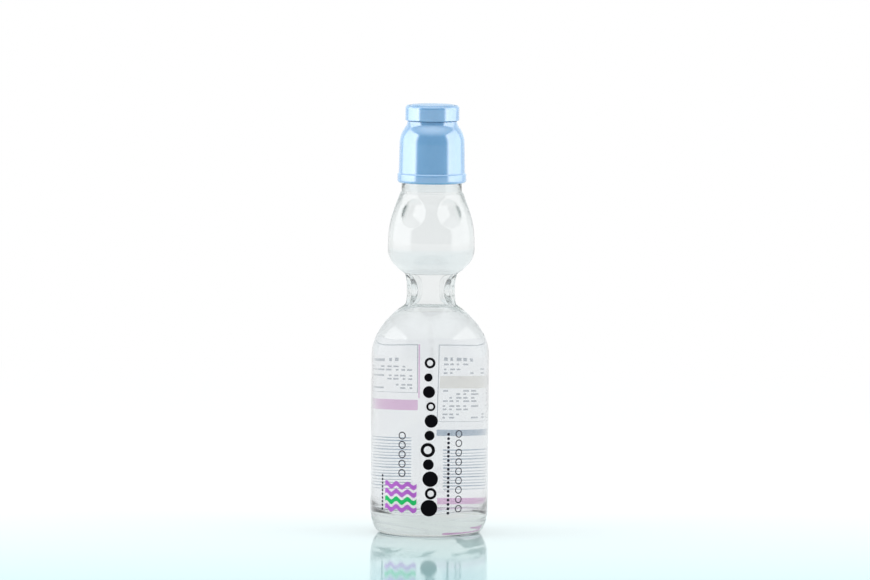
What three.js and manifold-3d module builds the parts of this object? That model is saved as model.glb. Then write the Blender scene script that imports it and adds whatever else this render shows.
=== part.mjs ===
// A pinched-neck glass soda bottle that a marble closes from inside.
// Millimetres, +Z up. The origin is at the centre of the base and the front faces -Y.

import * as THREE from "three";
import Module from "manifold-3d";
import { mergeVertices } from "three/addons/utils/BufferGeometryUtils.js";

const wasm = await Module();
wasm.setup();

// Glass: base and body
const bodyRadius = 28.2;
const bodyHeight = 84.4; // base to the start of the shoulder
const glassWall = 3.7;
const heelInset = 5.2; // how far the standing ring lies inside the body
const heelRise = 12;
const footWidth = 2.6; // flat of the standing ring
const puntRise = 3; // hollow under the base
const floorThickness = 7.5;
const floorCorner = 5;

// Glass: shoulder, pinched waist and marble chamber
const shoulderArc = 26.7;
const shoulderSlope = 45; // degrees from upright
const waistRadius = 13.9;
const waistLength = 14;
const waistFillet = 2;
const chamberRadius = 20.85;
const chamberFloorArc = 10;
const chamberFloorSlope = 45; // degrees from upright
const chamberBelt = 3.1;
const chamberTopArc = 50;
const chamberTaper = 20; // degrees from upright
const pinchDepth = 9.2;
const pinchWall = 1.6; // glass left under the bottom of a pinch
const pinchHalfWidth = 7.7;
const pinchHalfHeight = 9.6;
const pinchFullness = 4; // power of the curve that runs up a pinch: it keeps its width almost to its ends
const eyeAzimuth = 30; // degrees either side of the front
const eyeHeight = 15.6; // above the top of the chamber's belt
const eyeHalfWidth = 6.6;
const eyeHalfHeight = 7;
const eyeDepth = 1.8;
const eyeFullness = 2; // round
const dentRounding = 0.12; // share of a dent that rounds its rim

// Glass: neck and finish
const neckRadius = 14.5;
const neckStep = 0.7; // ledge where the chamber meets the neck
const neckLength = 5.4;
const finishRadius = 12.9;
const finishHeight = 17.9;
const boreRadius = 9.6;
const lipRound = 1.2;

// Screw thread, right-handed
const threadPitch = 4;
const threadTurns = 2;
const threadDepth = 0.9;
const threadRootWidth = 1.9;
const threadCrestWidth = 0.9;
const threadStart = 3.6; // first turn above the foot of the finish
const threadClearance = 0.35; // crest to wall
const threadPlay = 0.3; // between the flanks that bear
const threadSink = 0.5; // how deep a ridge is rooted in its wall
const threadRunOut = 0.1; // share of the ridge that fades at each end

// Label film
const filmThickness = 0.2;
const filmGap = 0.1;
const filmBottom = 8.6;
const filmShoulderAngle = 26; // degrees of the shoulder's arc that it covers

// Marble and the rubber ring it seals against
const marbleRadius = 8.4;
const seatGap = 0.15;
const gasketBore = 6.7;
const gasketThickness = 2.2;
const gasketLeg = 0.8; // reaches down into the glass
const gasketClearance = 0.3;
const gasketOuterRadius = 12.5;

// Cap
const skirtOverlap = 1.2; // how far the skirt reaches down over the neck
const skirtClearance = 0.35;
const rimRadius = 16.65;
const rimHeight = 4.8;
const rimRound = 1.1;
const skirtRadius = 16.05;
const bellTopRadius = 15.75;
const bellShoulder = 11.4; // height of the S-shaped shoulder
const bellPull = 8.2; // upright start of the S
const seatPull = 4.2; // and its upright end
const seatRadius = 12;
const crownHeight = 6.2; // rubber ring to the seat of the pusher ring
const orificeRadius = 7;
const mouthRadius = 10.9;
const mouthHeight = 1.9;
const mouthRound = 0.7;
const crownWall = 1.7;
const crownHollow = 4; // moulded hollow round the orifice

// Pusher and the ring that holds it
const ringRadius = 13.05;
const ringHeight = 7.2;
const ringRound = 1.3;
const ringSeatGap = 0.3;
const ringClearance = 0.3; // round the mouth
const padGap = 0.6; // between pad and ring
const padThickness = 1.8;
const padRise = 0.3; // pad above the ring
const padRound = 0.7;
const postRadius = 4.2;
const pressGap = 0.4; // post to marble before it is pressed
const bridgeCount = 6;
const bridgeWidth = 1.6;
const bridgeHeight = 1;
const bridgeReach = 0.3;

// Facets and the longest step along a curve
const facets = 36;
const glassFacets = 48; // also of the film, so that it lies flat on the glass
const marbleFacets = 24;
const curveStep = 3.2;
const fineStep = 1.6;
const dentStep = 2.3;
const weldDistance = 1e-3;

// Heights and radii that follow from the sizes above
const slopeOut = THREE.MathUtils.degToRad(shoulderSlope);
const slopeIn = THREE.MathUtils.degToRad(chamberFloorSlope);
const taper = THREE.MathUtils.degToRad(chamberTaper);
const shoulderEndRadius = bodyRadius - shoulderArc * (1 - Math.cos(slopeOut));
const shoulderEnd = bodyHeight + shoulderArc * Math.sin(slopeOut);
const lowerFilletRadius = waistRadius + waistFillet * (1 - Math.cos(slopeOut));
const lowerFillet = shoulderEnd + (shoulderEndRadius - lowerFilletRadius) / Math.tan(slopeOut);
const waistBottom = lowerFillet + waistFillet * Math.sin(slopeOut);
const waistTop = waistBottom + waistLength;
const upperFilletRadius = waistRadius + waistFillet * (1 - Math.cos(slopeIn));
const upperFillet = waistTop + waistFillet * Math.sin(slopeIn);
const floorArcRadius = chamberRadius - chamberFloorArc * (1 - Math.cos(slopeIn));
const floorArcStart = upperFillet + (floorArcRadius - upperFilletRadius) / Math.tan(slopeIn);
const beltBottom = floorArcStart + chamberFloorArc * Math.sin(slopeIn);
const beltTop = beltBottom + chamberBelt;
const taperStartRadius = chamberRadius - chamberTopArc * (1 - Math.cos(taper));
const taperStart = beltTop + chamberTopArc * Math.sin(taper);
const taperEndRadius = neckRadius + neckStep;
const taperEnd = taperStart + (taperStartRadius - taperEndRadius) / Math.tan(taper);
const neckBottom = taperEnd + neckStep;
const neckTop = neckBottom + neckLength;
const finishBottom = neckTop + neckRadius - finishRadius;
const lipTop = finishBottom + finishHeight;
const floorTop = puntRise + floorThickness;
const innerTopArc = chamberTopArc - glassWall;
const innerTaperRadius = chamberRadius - chamberTopArc + innerTopArc * Math.cos(taper);
const innerTaperStart = beltTop + innerTopArc * Math.sin(taper);
const boreBottom = innerTaperStart + (innerTaperRadius - boreRadius) / Math.tan(taper);
const pinchHeight = (waistBottom + waistTop) / 2;

const gasketBottom = lipTop + gasketClearance;
const gasketTop = gasketBottom + gasketThickness;
const seatRadiusOnMarble = marbleRadius + seatGap;
const marbleHeight = gasketTop - Math.sqrt(seatRadiusOnMarble ** 2 - gasketBore ** 2);
const gasketLegBottom = gasketBottom - gasketClearance - gasketLeg;
const gasketLegRadius = boreRadius - gasketClearance;

const capBottom = neckTop - skirtOverlap;
const capCeiling = gasketTop + gasketClearance;
const seatHeight = capCeiling + crownHeight;
const mouthTop = seatHeight + mouthHeight;
const capBore = finishRadius + threadDepth + threadClearance;
const skirtBore = neckRadius + skirtClearance;
const pocketRadius = gasketOuterRadius + gasketClearance;

const ringBottom = seatHeight + ringSeatGap;
const ringTop = ringBottom + ringHeight;
const ringBore = mouthRadius + ringClearance;
const padRadius = ringBore - padGap;
const padTop = ringTop + padRise;
const padBottom = padTop - padThickness;

// Points along a path: curves are divided, and so is every run whose middle lies where the dents are.
function profilePoints(path, step, isDented = () => false) {
  const points = [];
  for (const curve of path.curves) {
    const dented = isDented(curve.getPoint(0.5).y);
    const straight = curve.isLineCurve && !(dented && curve.getLength() > dentStep);
    const length = curve.getLength();
    const divisions = straight ? 1 : Math.max(2, Math.round(length / (dented ? dentStep : step)));
    for (let i = 0; i < divisions; i++) {
      points.push(curve.getPoint(i / divisions));
    }
  }
  points.push(path.curves.at(-1).getPoint(1));
  return points;
}

// Joins vertices that coincide and drops the triangles that this leaves without area.
function weld(geometry) {
  geometry.deleteAttribute("normal");
  geometry.deleteAttribute("uv");
  const welded = mergeVertices(geometry, weldDistance);
  const corners = welded.index.array;
  const kept = [];
  for (let i = 0; i < corners.length; i += 3) {
    const triangle = [corners[i], corners[i + 1], corners[i + 2]];
    if (new Set(triangle).size === 3) {
      kept.push(...triangle);
    }
  }
  welded.setIndex(kept);
  return welded;
}

// Turns a profile of (radius, height) about +Z, with a facet edge at the front.
function revolve(points, count = facets) {
  const geometry = new THREE.LatheGeometry(points, count);
  geometry.rotateX(Math.PI / 2);
  return weld(geometry);
}

function toSolid(geometry) {
  const vertProperties = new Float32Array(geometry.attributes.position.array);
  const triVerts = new Uint32Array(geometry.index.array);
  return new wasm.Manifold(new wasm.Mesh({ numProp: 3, vertProperties, triVerts }));
}

function toGeometry(solid) {
  const mesh = solid.getMesh();
  const geometry = new THREE.BufferGeometry();
  geometry.setAttribute("position", new THREE.BufferAttribute(mesh.vertProperties, 3));
  geometry.setIndex(new THREE.BufferAttribute(mesh.triVerts, 1));
  return geometry;
}

function namedMesh(name, geometry, look) {
  geometry.computeVertexNormals();
  const mesh = new THREE.Mesh(geometry, new THREE.MeshStandardMaterial(look));
  mesh.name = name;
  return mesh;
}

// A thread ridge: a straight bar wound round +Z that sinks into the wall at both ends.
function threadRidge(wallRadius, crestRadius, startHeight) {
  const outward = Math.sign(crestRadius - wallRadius);
  const root = wallRadius - outward * threadSink;
  const sunkCrest = wallRadius - (outward * threadSink) / 2;
  const geometry = new THREE.BoxGeometry(1, 1, 1, threadTurns * facets, 1, 1);
  const position = geometry.attributes.position;
  for (let i = 0; i < position.count; i++) {
    const along = 0.5 - outward * position.getX(i);
    const atCrest = position.getY(i) > 0;
    const width = atCrest ? threadCrestWidth : threadRootWidth;
    const fade = Math.min(1, along / threadRunOut, (1 - along) / threadRunOut);
    const crest = THREE.MathUtils.lerp(sunkCrest, crestRadius, fade);
    const radius = atCrest ? crest : root;
    const turn = along * threadTurns;
    const angle = turn * 2 * Math.PI;
    const height = startHeight + turn * threadPitch + position.getZ(i) * width;
    position.setXYZ(i, radius * Math.sin(angle), -radius * Math.cos(angle), height);
  }
  return weld(geometry);
}

// The outside and inside of the glass as one profile, from the axis under the base to the axis above it.
function bottlePath() {
  const footOuter = bodyRadius - heelInset;
  const footInner = footOuter - footWidth;
  const path = new THREE.Path();
  path.moveTo(0, puntRise);
  path.quadraticCurveTo(footInner / 2, puntRise, footInner, 0);
  path.lineTo(footOuter, 0);
  path.absellipse(footOuter, heelRise, heelInset, heelRise, -Math.PI / 2, 0, false);
  path.lineTo(bodyRadius, bodyHeight);
  path.absarc(bodyRadius - shoulderArc, bodyHeight, shoulderArc, 0, slopeOut, false);
  path.lineTo(lowerFilletRadius, lowerFillet);
  path.absarc(waistRadius + waistFillet, waistBottom, waistFillet, Math.PI + slopeOut, Math.PI, true);
  path.lineTo(waistRadius, waistTop);
  path.absarc(waistRadius + waistFillet, waistTop, waistFillet, Math.PI, Math.PI - slopeIn, true);
  path.lineTo(floorArcRadius, floorArcStart);
  path.absarc(chamberRadius - chamberFloorArc, beltBottom, chamberFloorArc, -slopeIn, 0, false);
  path.lineTo(chamberRadius, beltTop);
  path.absarc(chamberRadius - chamberTopArc, beltTop, chamberTopArc, 0, taper, false);
  path.lineTo(taperEndRadius, taperEnd);
  path.lineTo(neckRadius, neckBottom);
  path.lineTo(neckRadius, neckTop);
  path.lineTo(finishRadius, finishBottom);
  path.lineTo(finishRadius, lipTop - lipRound);
  path.absarc(finishRadius - lipRound, lipTop - lipRound, lipRound, 0, Math.PI / 2, false);
  path.lineTo(boreRadius + lipRound, lipTop);
  path.absarc(boreRadius + lipRound, lipTop - lipRound, lipRound, Math.PI / 2, Math.PI, false);
  path.lineTo(boreRadius, boreBottom);
  path.lineTo(innerTaperRadius, innerTaperStart);
  path.absarc(chamberRadius - chamberTopArc, beltTop, innerTopArc, taper, 0, true);
  path.lineTo(chamberRadius - glassWall, beltBottom);
  const innerFloorArc = chamberFloorArc - glassWall;
  path.absarc(chamberRadius - chamberFloorArc, beltBottom, innerFloorArc, 0, -slopeIn, true);
  const innerFillet = waistFillet + glassWall;
  const filletAxis = waistRadius + waistFillet;
  path.lineTo(filletAxis - innerFillet * Math.cos(slopeIn), waistTop + innerFillet * Math.sin(slopeIn));
  path.absarc(filletAxis, waistTop, innerFillet, Math.PI - slopeIn, Math.PI, false);
  path.lineTo(waistRadius - glassWall, waistBottom);
  path.absarc(filletAxis, waistBottom, innerFillet, Math.PI, Math.PI + slopeOut, false);
  const innerShoulderArc = shoulderArc - glassWall;
  const shoulderAxis = bodyRadius - shoulderArc;
  path.lineTo(
    shoulderAxis + innerShoulderArc * Math.cos(slopeOut),
    bodyHeight + innerShoulderArc * Math.sin(slopeOut),
  );
  path.absarc(shoulderAxis, bodyHeight, innerShoulderArc, slopeOut, 0, true);
  const innerRadius = bodyRadius - glassWall;
  path.lineTo(innerRadius, floorTop + floorCorner);
  path.absarc(innerRadius - floorCorner, floorTop + floorCorner, floorCorner, 0, -Math.PI / 2, true);
  path.lineTo(0, floorTop);
  return path;
}

// Pressed-in places: two pinches at the sides of the waist, and two eyes on the front of the chamber.
function dents() {
  const list = [];
  for (const side of [-1, 1]) {
    list.push({
      azimuth: (side * Math.PI) / 2,
      height: pinchHeight,
      halfAngle: pinchHalfWidth / waistRadius,
      halfHeight: pinchHalfHeight,
      depth: pinchDepth,
      innerDepth: pinchDepth - glassWall + pinchWall,
      fullness: pinchFullness,
    });
    list.push({
      azimuth: side * THREE.MathUtils.degToRad(eyeAzimuth),
      height: beltTop + eyeHeight,
      halfAngle: eyeHalfWidth / taperStartRadius,
      halfHeight: eyeHalfHeight,
      depth: eyeDepth,
      innerDepth: eyeDepth,
      fullness: eyeFullness,
    });
  }
  return list;
}

// How far a dent is pressed in at a place, as a share of its depth: a dish with a softened rim.
function dishShare(dent, azimuth, height) {
  const across = (azimuth - dent.azimuth) / dent.halfAngle;
  const up = Math.abs(height - dent.height) / dent.halfHeight;
  const dish = 1 - across ** 2 - up ** dent.fullness;
  if (Math.abs(dish) < dentRounding) {
    return (dish + dentRounding) ** 2 / (4 * dentRounding);
  }
  return Math.max(0, dish);
}

// Presses the dents into both faces of the glass. The wall thins under the pinches only.
function pressDents(geometry) {
  const position = geometry.attributes.position;
  const places = dents();
  for (let i = 0; i < position.count; i++) {
    const x = position.getX(i);
    const y = position.getY(i);
    const z = position.getZ(i);
    const radius = Math.hypot(x, y);
    const azimuth = Math.atan2(x, -y);
    const inside = radius < waistRadius - glassWall / 2;
    let pressed = 0;
    for (const dent of places) {
      const depth = inside ? dent.innerDepth : dent.depth;
      pressed += depth * dishShare(dent, azimuth, z);
    }
    if (pressed > 0) {
      const share = (radius - pressed) / radius;
      position.setXYZ(i, x * share, y * share, z);
    }
  }
}

function glassBottle() {
  const lowest = pinchHeight - pinchHalfHeight - dentStep;
  const isDented = (height) => height > lowest && height < taperEnd;
  const glass = revolve(profilePoints(bottlePath(), curveStep, isDented), glassFacets);
  pressDents(glass);
  const thread = threadRidge(finishRadius, finishRadius + threadDepth, finishBottom + threadStart);
  const geometry = toGeometry(toSolid(glass).add(toSolid(thread)));
  return namedMesh("glass_bottle", geometry, { color: "#dfe9ec", roughness: 0.05, metalness: 0 });
}

// The film hugs the straight body and the lower part of the shoulder.
function labelSleeve() {
  const inside = filmGap;
  const outside = filmGap + filmThickness;
  const end = THREE.MathUtils.degToRad(filmShoulderAngle);
  const shoulderAxis = bodyRadius - shoulderArc;
  const inner = shoulderArc + inside;
  const path = new THREE.Path();
  path.moveTo(bodyRadius + inside, filmBottom);
  path.lineTo(bodyRadius + outside, filmBottom);
  path.lineTo(bodyRadius + outside, bodyHeight);
  path.absarc(shoulderAxis, bodyHeight, shoulderArc + outside, 0, end, false);
  path.lineTo(shoulderAxis + inner * Math.cos(end), bodyHeight + inner * Math.sin(end));
  path.absarc(shoulderAxis, bodyHeight, inner, end, 0, true);
  path.lineTo(bodyRadius + inside, filmBottom);
  const look = { color: "#eef1f2", roughness: 0.2, metalness: 0 };
  return namedMesh("label_sleeve", revolve(profilePoints(path, curveStep), glassFacets), look);
}

// The rubber ring is clamped on the lip of the glass, and its inner leg is shaped to the marble.
function marbleGasket() {
  const legBore = Math.sqrt(seatRadiusOnMarble ** 2 - (gasketLegBottom - marbleHeight) ** 2);
  const seatStart = Math.atan2(gasketTop - marbleHeight, gasketBore);
  const seatEnd = Math.atan2(gasketLegBottom - marbleHeight, legBore);
  const path = new THREE.Path();
  path.moveTo(legBore, gasketLegBottom);
  path.lineTo(gasketLegRadius, gasketLegBottom);
  path.lineTo(gasketLegRadius, gasketBottom);
  path.lineTo(gasketOuterRadius, gasketBottom);
  path.lineTo(gasketOuterRadius, gasketTop);
  path.lineTo(gasketBore, gasketTop);
  path.absarc(0, marbleHeight, seatRadiusOnMarble, seatStart, seatEnd, true);
  const look = { color: "#e9e7e1", roughness: 0.7, metalness: 0 };
  return namedMesh("marble_gasket", revolve(profilePoints(path, fineStep)), look);
}

function marble() {
  const geometry = new THREE.SphereGeometry(marbleRadius, marbleFacets, marbleFacets / 2);
  geometry.rotateX(Math.PI / 2);
  geometry.translate(0, 0, marbleHeight);
  return namedMesh("marble", weld(geometry), { color: "#cfe3e6", roughness: 0.05, metalness: 0 });
}

// The cap is a bell with a bead round its rim, a drinking mouth on top and a screw thread inside.
function mouthCap() {
  const rimTop = capBottom + rimHeight;
  const rimStep = rimRadius - skirtRadius;
  const shoulderStart = seatHeight - bellShoulder;
  const hollowTop = capCeiling + crownHollow;
  const pocketBottom = gasketBottom;
  const collarClear = neckTop + skirtClearance;
  const path = new THREE.Path();
  path.moveTo(skirtBore, capBottom);
  path.lineTo(rimRadius - rimRound, capBottom);
  path.absarc(rimRadius - rimRound, capBottom + rimRound, rimRound, -Math.PI / 2, 0, false);
  path.lineTo(rimRadius, rimTop - rimStep);
  path.lineTo(skirtRadius, rimTop);
  path.lineTo(bellTopRadius, shoulderStart);
  path.bezierCurveTo(
    bellTopRadius, shoulderStart + bellPull,
    seatRadius, seatHeight - seatPull,
    seatRadius, seatHeight,
  );
  path.lineTo(mouthRadius, seatHeight);
  path.lineTo(mouthRadius, mouthTop - mouthRound);
  path.absarc(mouthRadius - mouthRound, mouthTop - mouthRound, mouthRound, 0, Math.PI / 2, false);
  path.lineTo(orificeRadius + mouthRound, mouthTop);
  path.absarc(orificeRadius + mouthRound, mouthTop - mouthRound, mouthRound, Math.PI / 2, Math.PI, false);
  path.lineTo(orificeRadius, capCeiling);
  path.lineTo(orificeRadius + crownWall, capCeiling);
  path.lineTo(orificeRadius + crownWall, hollowTop);
  path.lineTo(seatRadius - crownWall, hollowTop);
  path.lineTo(seatRadius - crownWall, capCeiling);
  path.lineTo(pocketRadius, capCeiling);
  path.lineTo(pocketRadius, pocketBottom);
  path.lineTo(capBore, pocketBottom - (capBore - pocketRadius));
  path.lineTo(capBore, collarClear + skirtBore - capBore);
  path.lineTo(skirtBore, collarClear);
  path.lineTo(skirtBore, capBottom);
  const shell = revolve(profilePoints(path, fineStep));
  const flank = (threadRootWidth + threadCrestWidth) / 2;
  const ridgeStart = finishBottom + threadStart - flank - threadPlay;
  const thread = threadRidge(capBore, capBore - threadDepth, ridgeStart);
  const geometry = toGeometry(toSolid(shell).add(toSolid(thread)));
  return namedMesh("mouth_cap", geometry, { color: "#83b3dc", roughness: 0.25, metalness: 0 });
}

// Thin bridges inside the ring carry the pad until it is broken out.
function pusherRing() {
  const path = new THREE.Path();
  path.moveTo(ringBore, ringBottom);
  path.lineTo(ringRadius, ringBottom);
  path.lineTo(ringRadius, ringTop - ringRound);
  path.absarc(ringRadius - ringRound, ringTop - ringRound, ringRound, 0, Math.PI / 2, false);
  path.lineTo(ringBore, ringTop);
  path.lineTo(ringBore, ringBottom);
  let solid = toSolid(revolve(profilePoints(path, fineStep)));
  const rooted = (ringRadius - ringBore) / 2;
  const length = bridgeReach + rooted;
  const bridgeMiddle = ringBore - bridgeReach + length / 2;
  for (let i = 0; i < bridgeCount; i++) {
    const bridge = new THREE.BoxGeometry(bridgeWidth, length, bridgeHeight);
    bridge.translate(0, -bridgeMiddle, padTop - padThickness / 2);
    bridge.rotateZ(((i + 0.5) * 2 * Math.PI) / bridgeCount);
    solid = solid.add(toSolid(weld(bridge)));
  }
  return namedMesh("pusher_ring", toGeometry(solid), { color: "#90bde4", roughness: 0.25, metalness: 0 });
}

// The pad is pressed with the palm, and its post has a hollow end that fits the marble.
function pusher() {
  const cupRadius = marbleRadius + pressGap;
  const cupEdge = Math.acos(postRadius / cupRadius);
  const path = new THREE.Path();
  path.absarc(0, marbleHeight, cupRadius, Math.PI / 2, cupEdge, true);
  path.lineTo(postRadius, padBottom);
  path.lineTo(padRadius, padBottom);
  path.lineTo(padRadius, padTop - padRound);
  path.absarc(padRadius - padRound, padTop - padRound, padRound, 0, Math.PI / 2, false);
  path.lineTo(0, padTop);
  const look = { color: "#90bde4", roughness: 0.25, metalness: 0 };
  return namedMesh("pusher", revolve(profilePoints(path, fineStep)), look);
}

const bottle = new THREE.Group();
bottle.add(glassBottle(), labelSleeve(), marbleGasket(), marble(), mouthCap(), pusherRing(), pusher());

export default bottle;
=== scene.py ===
# Soda bottle that a marble closes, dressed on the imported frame. Sizes in the dictionaries are millimetres.
import math

import bmesh
import bpy
from mathutils import Matrix, Vector


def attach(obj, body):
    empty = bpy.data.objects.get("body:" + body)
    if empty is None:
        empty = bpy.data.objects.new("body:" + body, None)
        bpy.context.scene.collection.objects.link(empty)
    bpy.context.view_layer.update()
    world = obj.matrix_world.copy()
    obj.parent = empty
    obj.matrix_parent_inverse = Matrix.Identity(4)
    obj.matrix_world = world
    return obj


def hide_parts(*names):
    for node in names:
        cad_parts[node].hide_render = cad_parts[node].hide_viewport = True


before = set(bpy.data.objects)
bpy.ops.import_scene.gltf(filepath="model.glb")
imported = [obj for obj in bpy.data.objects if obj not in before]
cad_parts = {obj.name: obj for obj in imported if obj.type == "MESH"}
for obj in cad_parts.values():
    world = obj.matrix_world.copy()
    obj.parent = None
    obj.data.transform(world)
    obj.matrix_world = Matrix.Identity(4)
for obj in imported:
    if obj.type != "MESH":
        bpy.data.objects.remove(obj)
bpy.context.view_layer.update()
mm = 0.001
print("frame loaded:", ", ".join(sorted(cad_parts)))


# Helpers for colours, nodes and turned shapes

def hexColour(code):
    channels = [int(code[i:i + 2], 16) / 255 for i in (1, 3, 5)]
    linear = [c / 12.92 if c <= 0.04045 else ((c + 0.055) / 1.055) ** 2.4 for c in channels]
    return (*linear, 1)


def addNode(tree, kind, settings=None, links=None):
    node = tree.nodes.new(kind)
    for key, value in (settings or {}).items():
        if isinstance(key, int) or key in node.inputs:
            node.inputs[key].default_value = value
        else:
            setattr(node, key, value)
    for key, socket in (links or {}).items():
        tree.links.new(socket, node.inputs[key])
    return node


def perMetre(sizeMm):
    return 1 / (sizeMm * mm)  # scale of a texture whose features are this many mm apart


def newMaterial(name):
    material = bpy.data.materials.new(name)
    material.use_nodes = True
    material.node_tree.nodes.clear()
    return material, material.node_tree


# Runs of profile points are (radius, height). An outer wall runs up and an inner wall runs down.
curveStep = 0.7  # mm between the points of a curve, where nothing finer is asked for
curvePieces = 3  # the least that any curve is cut into
cutShare = 0.45  # of a side, the most that rounding a corner takes
samePoint = 1e-4  # mm between points that count as one
onAxis = 1e-6  # mm from the axis that count as on it


def arcRun(centre, radii, start, end, step=curveStep):
    rx, rz = radii if isinstance(radii, tuple) else (radii, radii)
    count = max(curvePieces, round(math.radians(abs(end - start)) * max(rx, rz) / step))
    angles = [math.radians(start + (end - start) * i / count) for i in range(count + 1)]
    return [(centre[0] + rx * math.cos(a), centre[1] + rz * math.sin(a)) for a in angles]


def bezierRun(points, step=curveStep):
    count = max(curvePieces, round(sum(math.dist(a, b) for a, b in zip(points, points[1:])) / step))
    run = []
    for i in range(count + 1):
        t = i / count
        level = list(points)
        while len(level) > 1:
            level = [tuple(p + (q - p) * t for p, q in zip(a, b)) for a, b in zip(level, level[1:])]
        run.append(level[0])
    return run


def softRun(corners, cut):
    run = [corners[0]]  # every corner between the two ends is rounded off over this cut
    for before, corner, after in zip(corners, corners[1:], corners[2:]):
        sides = []
        for other in (before, after):
            reach = min(cut, math.dist(corner, other) * cutShare) / math.dist(corner, other)
            sides.append(tuple(c + (o - c) * reach for c, o in zip(corner, other)))
        run += bezierRun([sides[0], corner, sides[1]], cut / curvePieces)
    return run + [corners[-1]]


def tracedRuns(runs, step):
    points = []
    for point in (p for run in runs for p in run):
        if points:
            gap = math.dist(points[-1], point)
            if gap < samePoint:
                continue
            start = points[-1]
            for i in range(1, math.ceil(gap / step)):
                t = i / math.ceil(gap / step)
                points.append(tuple(a + (b - a) * t for a, b in zip(start, point)))
        points.append(point)
    return points


def offsetRun(points, distance):
    run = []  # every point of an upward run moves this far out from the axis side, square to the run
    for i, (radius, height) in enumerate(points):
        before, after = points[max(0, i - 1)], points[min(len(points) - 1, i + 1)]
        length = math.dist(before, after)
        out, down = (after[1] - before[1]) / length, (after[0] - before[0]) / length
        run.append((radius + distance * out, height - distance * down))
    return run


def turnedMesh(profile, segments, shape=None):
    verts, faces, rings = [], [], []
    for index, (radius, height) in enumerate(profile):
        pole = radius < onAxis
        rings.append([len(verts) + (0 if pole else i) for i in range(segments)])
        for i in range(1 if pole else segments):
            azimuth = 2 * math.pi * i / segments
            r, z = shape(radius, azimuth, height, index) if shape else (radius, height)
            verts.append((r * math.sin(azimuth) * mm, -r * math.cos(azimuth) * mm, z * mm))
    looped = rings + rings[:1] if profile[0][0] > onAxis else rings
    for low, high in zip(looped, looped[1:]):
        for i in range(segments):
            j = (i + 1) % segments
            corners = [low[i], low[j], high[j], high[i]]
            faces.append([c for k, c in enumerate(corners) if c not in corners[:k]])
    return verts, faces


def makePiece(name, parts, material, body, node=None, sharpAngle=40):
    mesh = bpy.data.meshes.new(name)
    mesh.from_pydata(parts[0], [], parts[1])
    work = bmesh.new()
    work.from_mesh(mesh)
    bmesh.ops.recalc_face_normals(work, faces=work.faces)
    work.to_mesh(mesh)
    work.free()
    mesh.shade_smooth()
    mesh.set_sharp_from_angle(angle=math.radians(sharpAngle))
    mesh.materials.append(material)
    piece = bpy.data.objects.new(name, mesh)
    bpy.context.collection.objects.link(piece)
    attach(piece, body)
    if node:
        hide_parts(node)
    print("built", name, len(mesh.polygons), "faces")


def wrapped(angle):
    return (angle + math.pi) % (2 * math.pi) - math.pi


def smoothStep(low, high, value):
    t = min(1, max(0, (value - low) / (high - low)))
    return t * t * (3 - 2 * t)


# Materials

glassLook = {
    "tint": "#FEFEFE",
    "deepTint": "#FAFCFC",
    "cloud": 35.0,  # mm across
    "bumpStrength": 0.05,
    "bumpHeight": 0.1,
    "roughness": 0.0,
    "ior": 1.52,
    "depth": "#CCD5D1",
    "density": 15.0,
}


def blownSodaLimeGlass():
    # Soda-lime glass blown in a mould: clear and fire-polished, faintly green-grey where it is thick.
    material, tree = newMaterial("blownSodaLimeGlass")
    coords = addNode(tree, "ShaderNodeTexCoord")
    noise = addNode(tree, "ShaderNodeTexNoise", {"Scale": perMetre(glassLook["cloud"]), "Detail": 1.0},
                    {"Vector": coords.outputs["Object"]})
    ramp = addNode(tree, "ShaderNodeValToRGB", links={"Fac": noise.outputs["Fac"]})
    ramp.color_ramp.elements[0].color = hexColour(glassLook["deepTint"])
    ramp.color_ramp.elements[1].color = hexColour(glassLook["tint"])
    bump = addNode(tree, "ShaderNodeBump",
                   {"Strength": glassLook["bumpStrength"], "Distance": glassLook["bumpHeight"] * mm},
                   {"Height": noise.outputs["Fac"]})
    shader = addNode(tree, "ShaderNodeBsdfPrincipled",
                     {"Roughness": glassLook["roughness"], "IOR": glassLook["ior"],
                      "Transmission Weight": 1.0},
                     {"Base Color": ramp.outputs["Color"], "Normal": bump.outputs["Normal"]})
    depth = addNode(tree, "ShaderNodeVolumeAbsorption",
                    {"Color": hexColour(glassLook["depth"]), "Density": glassLook["density"]})
    addNode(tree, "ShaderNodeOutputMaterial",
            links={"Surface": shader.outputs["BSDF"], "Volume": depth.outputs["Volume"]})
    return material


sodaLook = {
    "tint": "#FFFFFF",
    "deepTint": "#FCFDFD",
    "cloud": 25.0,  # mm across
    "roughness": 0.0,
    "ior": 1.34,
    "depth": "#D9E0E8",
    "density": 3.0,
}


def sodaWater():
    # Still, clear sweetened water: no colour of its own except a faint grey through its depth.
    material, tree = newMaterial("sodaWater")
    coords = addNode(tree, "ShaderNodeTexCoord")
    noise = addNode(tree, "ShaderNodeTexNoise", {"Scale": perMetre(sodaLook["cloud"]), "Detail": 0.0},
                    {"Vector": coords.outputs["Object"]})
    ramp = addNode(tree, "ShaderNodeValToRGB", links={"Fac": noise.outputs["Fac"]})
    ramp.color_ramp.elements[0].color = hexColour(sodaLook["deepTint"])
    ramp.color_ramp.elements[1].color = hexColour(sodaLook["tint"])
    shader = addNode(tree, "ShaderNodeBsdfPrincipled",
                     {"Roughness": sodaLook["roughness"], "IOR": sodaLook["ior"], "Transmission Weight": 1.0},
                     {"Base Color": ramp.outputs["Color"]})
    depth = addNode(tree, "ShaderNodeVolumeAbsorption",
                    {"Color": hexColour(sodaLook["depth"]), "Density": sodaLook["density"]})
    addNode(tree, "ShaderNodeOutputMaterial",
            links={"Surface": shader.outputs["BSDF"], "Volume": depth.outputs["Volume"]})
    return material


filmLook = {
    "tint": "#FFFFFF",
    "deepTint": "#FBFBFD",
    "ripple": 9.0,  # mm across
    "bumpStrength": 0.1,
    "bumpHeight": 0.1,
    "roughness": 0.02,
    "ior": 1.25,  # lower than PET's, so that the film's own reflections stay faint
}


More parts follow.
